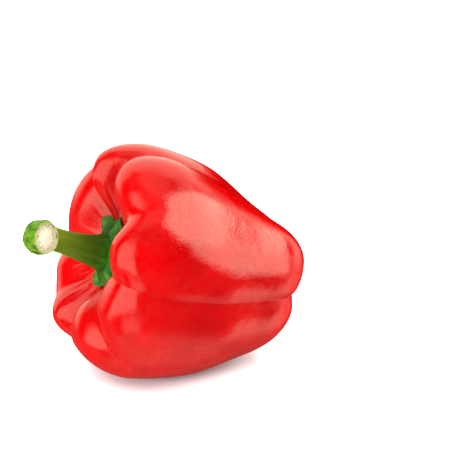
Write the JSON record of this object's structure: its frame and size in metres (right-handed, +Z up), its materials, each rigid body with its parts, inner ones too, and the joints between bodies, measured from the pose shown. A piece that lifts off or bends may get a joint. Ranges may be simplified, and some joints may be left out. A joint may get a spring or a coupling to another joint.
{
  "type": "bell pepper",
  "caption": "Ripe red bell pepper lying on its side: blocky lobed fruit with a deep stem dimple, toothed calyx and a hooked stem with an oblique cut.",
  "frame": {"origin": "middle of the base of the whole object's box, on the surface that the pepper lies on", "axes": "+Z up; +X from the stem towards the blossom end, which is the longest extent; -Y towards the side that the stem's cut faces"},
  "size_m": [0.1076, 0.0842, 0.0847],
  "materials": {
    "fruit_skin": "glossy waxy red skin",
    "calyx_green": "crinkled matte deep green",
    "stem_green": "satin olive green with a cream cut face"
  },
  "bodies": {
    "root": {"fruit": "fruit_skin", "calyx": "calyx_green", "stem": "stem_green"}
  },
  "joints": []
}
